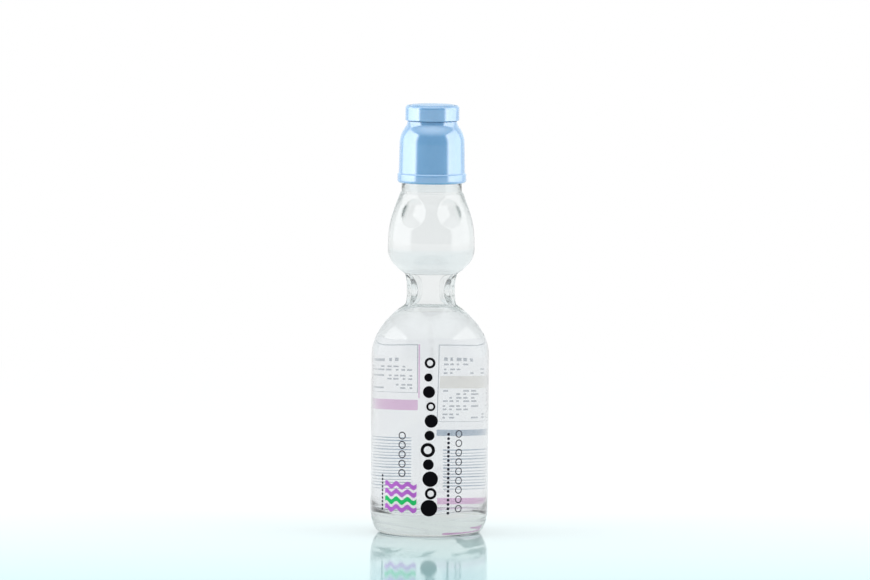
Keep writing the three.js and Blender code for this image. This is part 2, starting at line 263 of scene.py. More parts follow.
def shrunkPetFilm():
    # PET film shrunk by steam: clear and glossy, with soft ripples that break up its reflections.
    material, tree = newMaterial("shrunkPetFilm")
    coords = addNode(tree, "ShaderNodeTexCoord")
    noise = addNode(tree, "ShaderNodeTexNoise", {"Scale": perMetre(filmLook["ripple"]), "Detail": 1.0},
                    {"Vector": coords.outputs["Object"]})
    ramp = addNode(tree, "ShaderNodeValToRGB", links={"Fac": noise.outputs["Fac"]})
    ramp.color_ramp.elements[0].color = hexColour(filmLook["deepTint"])
    ramp.color_ramp.elements[1].color = hexColour(filmLook["tint"])
    bump = addNode(tree, "ShaderNodeBump",
                   {"Strength": filmLook["bumpStrength"], "Distance": filmLook["bumpHeight"] * mm},
                   {"Height": noise.outputs["Fac"]})
    shader = addNode(tree, "ShaderNodeBsdfPrincipled",
                     {"Roughness": filmLook["roughness"], "IOR": filmLook["ior"], "Transmission Weight": 1.0},
                     {"Base Color": ramp.outputs["Color"], "Normal": bump.outputs["Normal"]})
    addNode(tree, "ShaderNodeOutputMaterial", links={"Surface": shader.outputs["BSDF"]})
    return material


inkLook = {"screen": 0.4, "ior": 1.1}  # a low IOR, so that the print hardly mirrors


def printedInk(name, colour, mottle, transmission, roughness):
    # Flexographic ink on film: a thin layer that lets some light through, with a fine dot mottle
    # (0.4 mm apart here, coarser than the real 0.15 mm screen so that it shows).
    material, tree = newMaterial(name)
    coords = addNode(tree, "ShaderNodeTexCoord")
    noise = addNode(tree, "ShaderNodeTexNoise", {"Scale": perMetre(inkLook["screen"]), "Detail": 1.0},
                    {"Vector": coords.outputs["Object"]})
    ramp = addNode(tree, "ShaderNodeValToRGB", links={"Fac": noise.outputs["Fac"]})
    ramp.color_ramp.elements[0].color = hexColour(colour)
    ramp.color_ramp.elements[1].color = hexColour(mottle)
    shader = addNode(tree, "ShaderNodeBsdfPrincipled",
                     {"Roughness": roughness, "IOR": inkLook["ior"], "Transmission Weight": transmission},
                     {"Base Color": ramp.outputs["Color"]})
    addNode(tree, "ShaderNodeOutputMaterial", links={"Surface": shader.outputs["BSDF"]})
    return material


capLook = {
    "colour": "#639FD0",
    "pale": "#6EA8D7",
    "mottle": 6.0,  # mm across
    "roughness": 0.14,
    "glossiest": 0.9,  # share of that roughness
    "dullest": 1.15,
    "peel": 0.8,  # mm across
    "peelStrength": 0.05,
    "peelHeight": 0.05,
    "ior": 1.52,
    "shine": 0.5,
    "coatIor": 2.25,  # higher than the plastic's, for the strong highlights of the polished walls
    "coatRoughness": 0.12,
    "seeThrough": 0.15,
    "lightReach": (1.0, 1.2, 1.5),  # mm that red, green and blue go into it
    "topPolish": 0.05,
    "flatTop": 0.98,  # upright part of the normal where a face is all matt
    "polishedWall": 0.8,  # and where it is all polished
}


def mouldedPolyethylene():
    # Polyethylene moulded in a tool with polished walls and matt end faces: waxy, slightly see-through
    # blue with glossy highlights round the sides, while the flat tops stay blue at a low angle.
    material, tree = newMaterial("mouldedPolyethylene")
    coords = addNode(tree, "ShaderNodeTexCoord")
    mottle = addNode(tree, "ShaderNodeTexNoise", {"Scale": perMetre(capLook["mottle"]), "Detail": 2.0},
                     {"Vector": coords.outputs["Object"]})
    ramp = addNode(tree, "ShaderNodeValToRGB", links={"Fac": mottle.outputs["Fac"]})
    ramp.color_ramp.elements[0].color = hexColour(capLook["colour"])
    ramp.color_ramp.elements[1].color = hexColour(capLook["pale"])
    gloss = addNode(tree, "ShaderNodeMapRange",
                    {"To Min": capLook["roughness"] * capLook["glossiest"],
                     "To Max": capLook["roughness"] * capLook["dullest"]},
                    {"Value": mottle.outputs["Fac"]})
    peel = addNode(tree, "ShaderNodeTexNoise", {"Scale": perMetre(capLook["peel"]), "Detail": 1.0},
                   {"Vector": coords.outputs["Object"]})
    bump = addNode(tree, "ShaderNodeBump",
                   {"Strength": capLook["peelStrength"], "Distance": capLook["peelHeight"] * mm},
                   {"Height": peel.outputs["Fac"]})
    surface = addNode(tree, "ShaderNodeNewGeometry")
    tilt = addNode(tree, "ShaderNodeSeparateXYZ", links={"Vector": surface.outputs["Normal"]})
    polish = addNode(tree, "ShaderNodeMapRange",
                     {"interpolation_type": "SMOOTHSTEP", "From Min": capLook["flatTop"],
                      "From Max": capLook["polishedWall"], "To Min": capLook["topPolish"], "To Max": 1.0},
                     {"Value": tilt.outputs["Z"]})
    shine = addNode(tree, "ShaderNodeMath", {"operation": "MULTIPLY", 1: capLook["shine"]},
                    {0: polish.outputs["Result"]})
    shader = addNode(tree, "ShaderNodeBsdfPrincipled",
                     {"IOR": capLook["ior"], "Subsurface Weight": capLook["seeThrough"],
                      "Subsurface Radius": capLook["lightReach"], "Subsurface Scale": mm,
                      "Coat IOR": capLook["coatIor"], "Coat Roughness": capLook["coatRoughness"]},
                     {"Base Color": ramp.outputs["Color"], "Roughness": gloss.outputs["Result"],
                      "Normal": bump.outputs["Normal"], "Coat Weight": polish.outputs["Result"],
                      "Specular IOR Level": shine.outputs[0]})
    addNode(tree, "ShaderNodeOutputMaterial", links={"Surface": shader.outputs["BSDF"]})
    return material


rubberLook = {
    "colour": "#E3E0D8",
    "dust": "#F0EEE8",
    "grain": 0.6,  # mm across
    "bumpStrength": 0.2,
    "bumpHeight": 0.05,
    "roughness": 0.7,
    "ior": 1.52,
}


def mouldedRubber():
    # Food-grade rubber moulded in a matt tool: off-white, dull and slightly grainy.
    material, tree = newMaterial("mouldedRubber")
    coords = addNode(tree, "ShaderNodeTexCoord")
    grain = addNode(tree, "ShaderNodeTexNoise", {"Scale": perMetre(rubberLook["grain"]), "Detail": 3.0},
                    {"Vector": coords.outputs["Object"]})
    ramp = addNode(tree, "ShaderNodeValToRGB", links={"Fac": grain.outputs["Fac"]})
    ramp.color_ramp.elements[0].color = hexColour(rubberLook["colour"])
    ramp.color_ramp.elements[1].color = hexColour(rubberLook["dust"])
    bump = addNode(tree, "ShaderNodeBump",
                   {"Strength": rubberLook["bumpStrength"], "Distance": rubberLook["bumpHeight"] * mm},
                   {"Height": grain.outputs["Fac"]})
    shader = addNode(tree, "ShaderNodeBsdfPrincipled",
                     {"Roughness": rubberLook["roughness"], "IOR": rubberLook["ior"]},
                     {"Base Color": ramp.outputs["Color"], "Normal": bump.outputs["Normal"]})
    addNode(tree, "ShaderNodeOutputMaterial", links={"Surface": shader.outputs["BSDF"]})
    return material


marbleLook = {
    "tint": "#E4F3F3",
    "deepTint": "#CDE6E7",
    "swirl": 5.0,  # mm across
    "wander": 1.5,
    "roughness": 0.0,
    "ior": 1.52,
}


def polishedMarbleGlass():
    # Pressed and tumbled glass ball: clear aqua with faint cords that wander through it.
    material, tree = newMaterial("polishedMarbleGlass")
    coords = addNode(tree, "ShaderNodeTexCoord")
    swirl = addNode(tree, "ShaderNodeTexNoise",
                    {"Scale": perMetre(marbleLook["swirl"]), "Detail": 2.0,
                     "Distortion": marbleLook["wander"]},
                    {"Vector": coords.outputs["Object"]})
    ramp = addNode(tree, "ShaderNodeValToRGB", links={"Fac": swirl.outputs["Fac"]})
    ramp.color_ramp.elements[0].color = hexColour(marbleLook["deepTint"])
    ramp.color_ramp.elements[1].color = hexColour(marbleLook["tint"])
    shader = addNode(tree, "ShaderNodeBsdfPrincipled",
                     {"Roughness": marbleLook["roughness"], "IOR": marbleLook["ior"],
                      "Transmission Weight": 1.0},
                     {"Base Color": ramp.outputs["Color"]})
    addNode(tree, "ShaderNodeOutputMaterial", links={"Surface": shader.outputs["BSDF"]})
    return material


bottleGlass = blownSodaLimeGlass()
soda = sodaWater()
petFilm = shrunkPetFilm()
bluePlastic = mouldedPolyethylene()
paleRubber = mouldedRubber()
marbleGlass = polishedMarbleGlass()
print("materials ready")


# Glass bottle

glass = {
    "segments": 160,
    "step": 0.7,
    "fineStep": 0.3,  # round the small fillets
    "bodyRadius": 28.2,
    "bodyHeight": 84.4,
    "wall": 3.7,
    "heel": (5.2, 12.0),  # how far in, how high
    "foot": 2.6,
    "punt": 3.0,
    "floor": 10.5,
    "floorCorner": 5.0,
    "shoulderArc": 26.7,
    "waistRadius": 13.9,
    "waistLength": 15.49,
    "waistFillet": 0.2,
    "slope": 45.0,
    "chamberRadius": 20.85,
    "chamberFloorArc": 10.0,
    "chamberBelt": 3.1,
    "chamberTopArc": 50.0,
    "chamberTaper": 20.0,
    "neckRadius": 14.5,
    "neckStep": 0.7,
    "neckLength": 5.4,
    "neckSoft": 0.5,
    "finishRadius": 12.9,
    "finishHeight": 17.9,
    "boreRadius": 9.6,
    "boreSoft": 2.0,
    "lipRound": 1.2,
}
slope = math.radians(glass["slope"])
taper = math.radians(glass["chamberTaper"])
fillet = glass["waistFillet"]
shoulderAxis = glass["bodyRadius"] - glass["shoulderArc"]
filletAxis = glass["waistRadius"] + fillet
shoulderEnd = (shoulderAxis + glass["shoulderArc"] * math.cos(slope),
               glass["bodyHeight"] + glass["shoulderArc"] * math.sin(slope))
filletEdge = filletAxis - fillet * math.cos(slope)
waistBottom = shoulderEnd[1] + (shoulderEnd[0] - filletEdge) + fillet * math.sin(slope)
waistTop = waistBottom + glass["waistLength"]
floorAxis = glass["chamberRadius"] - glass["chamberFloorArc"]
floorArcEdge = floorAxis + glass["chamberFloorArc"] * math.cos(slope)
beltBottom = (waistTop + fillet * math.sin(slope) + (floorArcEdge - filletEdge)
              + glass["chamberFloorArc"] * math.sin(slope))
beltTop = beltBottom + glass["chamberBelt"]
taperAxis = glass["chamberRadius"] - glass["chamberTopArc"]
taperStart = (taperAxis + glass["chamberTopArc"] * math.cos(taper),
              beltTop + glass["chamberTopArc"] * math.sin(taper))
taperEnd = glass["neckRadius"] + glass["neckStep"]
neckBottom = taperStart[1] + (taperStart[0] - taperEnd) / math.tan(taper) + glass["neckStep"]
neckTop = neckBottom + glass["neckLength"]
finishBottom = neckTop + glass["neckRadius"] - glass["finishRadius"]
lipTop = finishBottom + glass["finishHeight"]
lipStart = lipTop - glass["lipRound"]
boreStart = (taperAxis + (glass["chamberTopArc"] - glass["wall"]) * math.cos(taper),
             beltTop + (glass["chamberTopArc"] - glass["wall"]) * math.sin(taper))
boreBottom = boreStart[1] + (boreStart[0] - glass["boreRadius"]) / math.tan(taper)
footOuter = glass["bodyRadius"] - glass["heel"][0]
footInner = footOuter - glass["foot"]

# The two pinches at the sides of the waist and the two eyes on the front of the chamber
pinch = {
    "side": 90.0,
    "halfWidth": 7.7,
    "fullness": 4,  # a pinch keeps its width almost to its ends
    "drop": 0.7,  # below the middle of the waist
    "halfHeight": 9.9,
    "depth": 9.2,
    "innerHalfHeight": 9.6,
    "innerDepth": 7.1,
    "endSlope": 0.15,  # keeps the ends of the floor from standing upright
}
eye = {
    "side": 30.0,
    "halfWidth": 6.6,
    "rise": 15.6,  # above the chamber's belt
    "halfHeight": 7.0,
    "depth": 2.6,
    "innerDepth": 1.8,
}
dentEdge = 0.12  # share of a dent that rounds its rim


def softDish(dish):
    if dish < -dentEdge:
        return 0
    return dish if dish > dentEdge else (dish + dentEdge) ** 2 / (4 * dentEdge)


def pressedIn(azimuth, height, inside=False):
    turn = abs(wrapped(azimuth))
    across = (turn - math.radians(pinch["side"])) * glass["waistRadius"] / pinch["halfWidth"]
    up = height - (waistBottom + waistTop) / 2
    if inside:
        up /= pinch["innerHalfHeight"]
        pressed = pinch["innerDepth"] * softDish(1 - across ** 2 - up ** pinch["fullness"])
    else:
        up = (up + pinch["drop"]) / pinch["halfHeight"]
        # the floor runs up in half an ellipse
        curve = (1 + up ** 2) * math.sqrt(max(pinch["endSlope"], 1 - up ** 2))
        pressed = pinch["depth"] * softDish((1 - across ** 2 - up ** pinch["fullness"]) / curve)
    across = (turn - math.radians(eye["side"])) * taperStart[0] / eye["halfWidth"]
    up = (height - beltTop - eye["rise"]) / eye["halfHeight"]
    return pressed + eye["innerDepth" if inside else "depth"] * softDish(1 - across ** 2 - up ** 2)


thread = {
    "pitch": 4.0,
    "turns": 2.0,
    "depth": 0.9,
    "root": 1.9,
    "crest": 0.9,
    "start": 3.6,
    "fade": 0.2,  # turns over which each end grows
    "clearance": 0.35,  # crest to wall
    "play": 0.3,  # between the flanks
}


def threadRise(azimuth, height, start):
    rise = 0
    for turn in range(int(thread["turns"]) + 1):
        along = azimuth / (2 * math.pi) + turn
        if 0 <= along <= thread["turns"]:
            off = abs(height - start - along * thread["pitch"])
            flank = (thread["root"] / 2 - off) / (thread["root"] - thread["crest"]) * 2
            fade = min(1, along / thread["fade"], (thread["turns"] - along) / thread["fade"])
            rise = max(rise, thread["depth"] * fade * min(1, max(0, flank)))
    return rise


# Blown glass is never quite even, neither its wall nor its floor nor its heel. Lobes are waves round the
# bottle, and a twist is how many mm turn a wave by one radian.
uneven = {
    "second": 0.6,  # share of the finer of two waves
    "wall": 0.1,
    "wallLobes": (3, 5),
    "wallTwist": (17, 11),
    "wallTurn": 1,
    "wallGrows": (0, 12),  # from one height to the other
    "wallFades": (150, 168),
    "floor": 0.9,
    "floorLobes": (2, 3),
    "floorTwist": 4,
    "floorTurn": 0.7,
    "floorGrows": (2, 14),  # from one radius to the other
    "floorFades": 9,  # mm above the floor
    "heel": 0.07,
    "heelPitch": 3.4,
    "heelLobes": (2, 3),
    "heelSway": 0.4,
    "heelGrows": (1, 4),  # from one height to the other
    "heelFades": 6,  # from this height to the top of the heel
}


def innerPlace(radius, azimuth, height, level):
    broad, fine = uneven["wallLobes"]
    broadTwist, fineTwist = uneven["wallTwist"]
    wave = math.sin(broad * azimuth + level / broadTwist)
    wave += uneven["second"] * math.sin(fine * azimuth - level / fineTwist + uneven["wallTurn"])
    wave *= (uneven["wall"] * smoothStep(*uneven["wallGrows"], level)
             * (1 - smoothStep(*uneven["wallFades"], level)))
    broad, fine = uneven["floorLobes"]
    dip = math.sin(broad * azimuth + uneven["floorTurn"])
    dip += uneven["second"] * math.sin(fine * azimuth + radius / uneven["floorTwist"])
    dip *= (uneven["floor"] * smoothStep(*uneven["floorGrows"], radius)
            * (1 - smoothStep(glass["floor"], glass["floor"] + uneven["floorFades"], level)))
    return radius - pressedIn(azimuth, level, inside=True) + wave, height + dip


outerGlass = [
    [(0, glass["punt"])],
    bezierRun([(0, glass["punt"]), (footInner / 2, glass["punt"]), (footInner, 0)]),
    arcRun((footOuter, glass["heel"][1]), glass["heel"], -90, 0),
    arcRun((shoulderAxis, glass["bodyHeight"]), glass["shoulderArc"], 0, glass["slope"]),
    arcRun((filletAxis, waistBottom), fillet, 180 + glass["slope"], 180, glass["fineStep"]),
    arcRun((filletAxis, waistTop), fillet, 180, 180 - glass["slope"], glass["fineStep"]),
    arcRun((floorAxis, beltBottom), glass["chamberFloorArc"], -glass["slope"], 0),
    arcRun((taperAxis, beltTop), glass["chamberTopArc"], 0, glass["chamberTaper"]),
    softRun([taperStart, (taperEnd, neckBottom - glass["neckStep"]), (glass["neckRadius"], neckBottom),
             (glass["neckRadius"], neckTop), (glass["finishRadius"], finishBottom),
             (glass["finishRadius"], lipStart)], glass["neckSoft"]),
    arcRun((glass["finishRadius"] - glass["lipRound"], lipStart), glass["lipRound"], 0, 90,
           glass["fineStep"]),
]
innerGlass = [
    arcRun((glass["boreRadius"] + glass["lipRound"], lipStart), glass["lipRound"], 90, 180,
           glass["fineStep"]),
    softRun([(glass["boreRadius"], lipStart), (glass["boreRadius"], boreBottom), boreStart],
            glass["boreSoft"]),
    arcRun((taperAxis, beltTop), glass["chamberTopArc"] - glass["wall"], glass["chamberTaper"], 0),
    arcRun((floorAxis, beltBottom), glass["chamberFloorArc"] - glass["wall"], 0, -glass["slope"]),
    arcRun((filletAxis, waistTop), fillet + glass["wall"], 180 - glass["slope"], 180),
    arcRun((filletAxis, waistBottom), fillet + glass["wall"], 180, 180 + glass["slope"]),
    arcRun((shoulderAxis, glass["bodyHeight"]), glass["shoulderArc"] - glass["wall"], glass["slope"], 0),
    arcRun((glass["bodyRadius"] - glass["wall"] - glass["floorCorner"],
            glass["floor"] + glass["floorCorner"]), glass["floorCorner"], 0, -90),
    [(0, glass["floor"])],
]
outerProfile = tracedRuns(outerGlass, glass["step"])
innerProfile = tracedRuns(innerGlass, glass["step"])


def glassSurface(radius, azimuth, height, index):
    if index >= len(outerProfile):
        return innerPlace(radius, azimuth, height, height)
    if height > finishBottom:
        return radius + threadRise(azimuth, height, finishBottom + thread["start"]), height
    swayLobes, lobes = uneven["heelLobes"]
    sway = uneven["heelSway"] * math.sin(swayLobes * azimuth)
    ripple = math.sin(2 * math.pi * (height / uneven["heelPitch"] + sway) + lobes * azimuth)
    ripple *= (uneven["heel"] * smoothStep(*uneven["heelGrows"], height)
               * (1 - smoothStep(uneven["heelFades"], glass["heel"][1], height)))
    return radius - pressedIn(azimuth, height) + ripple, height


makePiece("glassBottle", turnedMesh(outerProfile + innerProfile, glass["segments"], glassSurface),
          bottleGlass, "bottle", "glass_bottle")

# Soda: it reaches a hair into the glass, so that light passes straight from one to the other
sodaFill = {"overlap": 0.06, "level": 175.5, "meniscus": 1.2, "meniscusFoot": 0.3, "meniscusReach": 3.0}
wetGlass = [point for point in reversed(innerProfile)
            if point[1] < sodaFill["level"] + sodaFill["meniscus"]]
sodaWall = offsetRun(wetGlass, sodaFill["overlap"])
edge = sodaWall[-1]
meniscus = bezierRun([edge, (edge[0] - sodaFill["meniscusFoot"], sodaFill["level"]),
                      (edge[0] - sodaFill["meniscusReach"], sodaFill["level"]), (0, sodaFill["level"])])


def sodaSurface(radius, azimuth, height, index):
    if radius < onAxis or index >= len(wetGlass):
        return radius, height
    return innerPlace(radius, azimuth, height, wetGlass[index][1])


makePiece("soda", turnedMesh(sodaWall + meniscus[1:], glass["segments"], sodaSurface),
          soda, "bottle")


# Printed film sleeve

sleeve = {
    "bottom": 8.7,
    "top": 95.4,
    "gap": 0.09,
    "thickness": 0.09,
    "step": 1.5,
    "edgeWave": 0.5,
    "edgeLobes": (4, 9),  # waves round each edge
    "edgeSecond": 0.5,
    "edgeTurn": 1,
    "ripple": 0.03,
    "rippleLobes": 23,
    "rippleTwist": 9,  # mm of height that turn it by one radian
    "rippleFrom": 0.8,  # share of the height where it starts
}


def glassRadius(height):
    heelInset, heelRise = glass["heel"]
    if height < heelRise:
        return footOuter + heelInset * math.sqrt(1 - (1 - height / heelRise) ** 2)
    above = max(0, height - glass["bodyHeight"])
    return shoulderAxis + math.sqrt(glass["shoulderArc"] ** 2 - above ** 2)


def filmSurface(radius, azimuth, height, index):
    share = (height - sleeve["bottom"]) / (sleeve["top"] - sleeve["bottom"])
    toEdge = 2 * share - 1  # -1 at the bottom edge, 1 at the top
    broad, fine = sleeve["edgeLobes"]
    lift = math.sin(broad * azimuth + sleeve["edgeTurn"]) + sleeve["edgeSecond"] * math.sin(fine * azimuth)
    z = height + sleeve["edgeWave"] * lift * toEdge * abs(toEdge)
    ripple = sleeve["ripple"] * (1 + math.sin(sleeve["rippleLobes"] * azimuth + z / sleeve["rippleTwist"]))
    ripple *= smoothStep(sleeve["rippleFrom"], 1, share)
    return glassRadius(z) + radius + ripple, z


filmInner, filmOuter = sleeve["gap"], sleeve["gap"] + sleeve["thickness"]
filmLoop = tracedRuns([[(filmOuter, sleeve["bottom"]), (filmOuter, sleeve["top"])],
                       [(filmInner, sleeve["top"]), (filmInner, sleeve["bottom"])]], sleeve["step"])
makePiece("labelSleeve", turnedMesh(filmLoop, glass["segments"], filmSurface),
          petFilm, "bottle", "label_sleeve")


# Print on the outside of the film: a plain pattern of bubbles, loops, waves, rules and bands.
# A place on it is mm round from the front and mm up from the base.

inkLayer = {
    "low": 0.25,  # off the glass
    "thickness": 0.02,
    "barColumn": 1.2,  # mm round that one flat facet spans
    "barRow": 4.0,
    "waveColumn": 0.8,
    "discGrid": 10,
    "ringColumns": 36,
    "ringRows": 2,
}
inkSheets = {}


def printPatch(ink, spot, columns, rows, closed=False):
    verts, faces = inkSheets.setdefault(ink, ([], []))
    across = columns if closed else columns + 1
    base = len(verts)
    for lift in (inkLayer["low"], inkLayer["low"] + inkLayer["thickness"]):
        for v in range(rows + 1):
            for u in range(across):
                s, z = spot(u / columns, v / rows)
                azimuth = s / glass["bodyRadius"]
                r = glassRadius(z) + lift
                verts.append((r * math.sin(azimuth) * mm, -r * math.cos(azimuth) * mm, z * mm))

    def at(layer, u, v):
        return base + (layer * (rows + 1) + v) * across + u % across

    for v in range(rows):
        for u in range(columns):
            faces.append((at(0, u, v), at(0, u, v + 1), at(0, u + 1, v + 1), at(0, u + 1, v)))
            faces.append((at(1, u, v), at(1, u + 1, v), at(1, u + 1, v + 1), at(1, u, v + 1)))
    for u in range(columns):
        faces.append((at(0, u, 0), at(0, u + 1, 0), at(1, u + 1, 0), at(1, u, 0)))
        faces.append((at(0, u + 1, rows), at(0, u, rows), at(1, u, rows), at(1, u + 1, rows)))
    if not closed:
        for v in range(rows):
            faces.append((at(0, 0, v + 1), at(0, 0, v), at(1, 0, v), at(1, 0, v + 1)))
            faces.append((at(0, columns, v), at(0, columns, v + 1),
                          at(1, columns, v + 1), at(1, columns, v)))


def printBar(ink, left, right, low, high):
    columns = max(1, math.ceil((right - left) / inkLayer["barColumn"]))
    rows = max(1, math.ceil((high - low) / inkLayer["barRow"]))
    printPatch(ink, lambda u, v: (left + (right - left) * u, low + (high - low) * v), columns, rows)


def printDisc(ink, s, z, radius):
    def spot(u, v):
        a, b = 2 * u - 1, 2 * v - 1
        return s + radius * a * math.sqrt(1 - b * b / 2), z + radius * b * math.sqrt(1 - a * a / 2)
    printPatch(ink, spot, inkLayer["discGrid"], inkLayer["discGrid"])


def printRing(ink, s, z, radius, width):
    def spot(u, v):
        r = radius - width * v
        return s + r * math.cos(2 * math.pi * u), z + r * math.sin(2 * math.pi * u)
    printPatch(ink, spot, inkLayer["ringColumns"], inkLayer["ringRows"], closed=True)


def printWave(ink, left, right, height, width, swing, length):
    def spot(u, v):
        s = left + (right - left) * u
        return s, height + swing * math.sin(2 * math.pi * s / length) + width * (v - 0.5)
    printPatch(ink, spot, math.ceil((right - left) / inkLayer["waveColumn"]), 1)


def printFrame(ink, left, right, low, high, width):
    printBar(ink, left, right, low, low + width)
    printBar(ink, left, right, high - width, high)
    printBar(ink, left, left + width, low + width, high - width)
    printBar(ink, right - width, right, low + width, high - width)


# a column of bubbles up the front, every third one hollow and every second one small
bubbles = {"count": 11, "low": 14.5, "high": 84.3, "radius": 4.0, "shrink": 0.35, "small": 0.72,
           "stroke": 0.45, "swing": 0.8, "swingTurn": 1.25}
for i in range(bubbles["count"]):
    share = i / (bubbles["count"] - 1)
    height = bubbles["low"] + (bubbles["high"] - bubbles["low"]) * share
    radius = bubbles["radius"] * (1 - bubbles["shrink"] * share) * (1 if i % 2 == 0 else bubbles["small"])
    place = bubbles["swing"] * math.sin(i * bubbles["swingTurn"])
    if i % 3 == 1:
        printRing("black", place, height, radius, radius * bubbles["stroke"])
    else:
        printDisc("black", place, height, radius)

# columns of dots and loops in the scale of small print
smallPrint = {
    "loopPitch": 2.4,  # in radii
    "dotPitch": 3.0,
    "columns": (  # place, lowest, highest, radius, stroke (0 for a dot)
        (9.2, 12, 50, 0.7, 0),
        (14.6, 14, 50, 1.8, 0.45),
        (-13.5, 31, 49, 1.9, 0.5),
        (-25.5, 13, 29, 0.6, 0),
    ),
}
for place, low, high, radius, stroke in smallPrint["columns"]:
    count = round((high - low) / (radius * smallPrint["loopPitch" if stroke else "dotPitch"]))
    for i in range(count + 1):
        height = low + (high - low) * i / count
        if stroke:
            printRing("charcoal", place, height, radius, stroke)
        else:
            printDisc("charcoal", place, height, radius)

# waves near the bottom
waves = {"inks": ("violet", "violet", "green", "violet"), "left": -23.5, "right": -6, "top": 25.0,
         "pitch": 3.7, "width": 2.3, "swing": 0.9, "length": 6.0}
for i, ink in enumerate(waves["inks"]):
    printWave(ink, waves["left"], waves["right"], waves["top"] - waves["pitch"] * i,
              waves["width"], waves["swing"], waves["length"])

# back: two panels of rules, short marks and bands, seen through the soda
panel = {
    "outer": 24.0,
    "top": 84.8,
    "line": 0.22,
    "marks": 12,  # places for marks in a row
    "markStart": 1.4,
    "markPitch": 1.6,
    "markHeight": 0.8,
    "markWidths": (0.6, 1.2, 0.9),
    "stripeLow": 19.2,
    "stripePitch": 1.45,
    "stripeHeights": (0.35, 0.6, 0.45),
    "stripeStart": 1.5,
    "stripeEnd": 2,
    "stripeStagger": 3,
}
panelHalves = {
    -1: {
        "inner": 3.0,
        "low": 66.0,
        "rows": (67.8, 69.4, 72.2, 73.8, 76.6, 78.2, 81.0),
        "bands": (("magenta", 0, 0, 57.6, 62.6),),  # ink, in from both ends, low, high
        "sideLine": (0.45, 0.1, 63.5),  # from, to, low
        "stripes": 18,
    },
    1: {
        "inner": 1.9,
        "low": 52.0,
        "rows": (53.6, 55.2, 57.6, 59.2, 61.6, 63.2, 65.0, 66.6, 75.2, 77.0, 79.4, 81.0),
        "bands": (("slate", 0, 0, 45.2, 48.2), ("magenta", 0, 0, 10.5, 15.0), ("cream", 0.5, 1, 68.2, 74.2)),
        "sideLine": None,
        "stripes": 14,
    },
}
backMiddle = math.pi * glass["bodyRadius"]


def panelEnds(side, near, far):
    return sorted((backMiddle - side * near, backMiddle - side * far))


for side, half in panelHalves.items():
    inner, outer = half["inner"], panel["outer"]
    printFrame("grey", *panelEnds(side, inner, outer), half["low"], panel["top"], panel["line"])
    for row, z in enumerate(half["rows"]):
        for mark in range(panel["marks"]):
            if (5 * row + 3 * mark) % 8 in (1, 6):  # gaps that don't line up from row to row
                continue
            start = inner + panel["markStart"] + mark * panel["markPitch"]
            width = panel["markWidths"][(row + mark) % 3]
            printBar("grey", *panelEnds(side, start, start + width), z, z + panel["markHeight"])
    for ink, nearGap, farGap, low, high in half["bands"]:
        printBar(ink, *panelEnds(side, inner + nearGap, outer - farGap), low, high)
    if half["sideLine"]:
        near, far, low = half["sideLine"]
        printBar("magenta", *panelEnds(side, inner - near, inner - far), low, panel["top"])
    for i in range(half["stripes"]):
        z = panel["stripeLow"] + panel["stripePitch"] * i
        end = outer - panel["stripeEnd"] - panel["stripeStagger"] * (i % 3)
        printBar("slate", *panelEnds(side, inner + panel["stripeStart"], end),
                 z, z + panel["stripeHeights"][i % 3])

inks = {  # colour, mottle, how much light goes through, roughness
    "black": ("#0A090C", "#110F14", 0.0, 0.4),
    "charcoal": ("#2A2A34", "#383843", 0.1, 0.4),
    "grey": ("#B4BAC2", "#C2C8CE", 0.95, 0.15),
    "magenta": ("#F0BCE8", "#F7D0F1", 0.9, 0.15),
    "violet": ("#BE66D0", "#CC7CDA", 0.2, 0.4),
    "green": ("#22C566", "#3CCF7C", 0.2, 0.4),
    "slate": ("#AFC0D2", "#BCCBDA", 0.9, 0.15),
    "cream": ("#F8F5EE", "#FCFAF5", 0.9, 0.15),
}
for ink, (colour, mottle, transmission, roughness) in inks.items():
    material = printedInk(ink + "FlexoInk", colour, mottle, transmission, roughness)
    makePiece(ink + "Print", inkSheets[ink], material, "bottle")


# Rubber ring, marble and closure

marble = {"segments": 96, "step": 0.5, "radius": 8.4}
gasket = {
    "segments": 96,
    "step": 0.8,
    "seatStep": 0.3,
    "gap": 0.3,
    "thickness": 2.2,
    "leg": 0.8,
    "bore": 6.7,
    "outer": 12.5,
    "soft": 0.3,
    "seatGap": 0.15,
}
gasketBottom = lipTop + gasket["gap"]
gasketTop = gasketBottom + gasket["thickness"]
legBottom = lipTop - gasket["leg"]
legRadius = glass["boreRadius"] - gasket["gap"]
ballSeat = marble["radius"] + gasket["seatGap"]
marbleHeight = gasketTop - math.sqrt(ballSeat ** 2 - gasket["bore"] ** 2)
seatTop = math.degrees(math.atan2(gasketTop - marbleHeight, gasket["bore"]))
seatFoot = math.degrees(math.asin((legBottom - marbleHeight) / ballSeat))
seat = arcRun((0, marbleHeight), ballSeat, seatTop, seatFoot, gasket["seatStep"])
gasketLoop = softRun([seat[-1], (legRadius, legBottom), (legRadius, gasketBottom),
                      (gasket["outer"], gasketBottom), (gasket["outer"], gasketTop), seat[0]],
                     gasket["soft"])
makePiece("marbleGasket",
          turnedMesh(tracedRuns([gasketLoop, seat[:-1]], gasket["step"]), gasket["segments"]),
          paleRubber, "gasket", "marble_gasket")

ball = arcRun((0, marbleHeight), marble["radius"], -90, 90, marble["step"])
ball[0], ball[-1] = (0, ball[0][1]), (0, ball[-1][1])
makePiece("marble", turnedMesh(ball, marble["segments"]), marbleGlass, "marble", "marble")

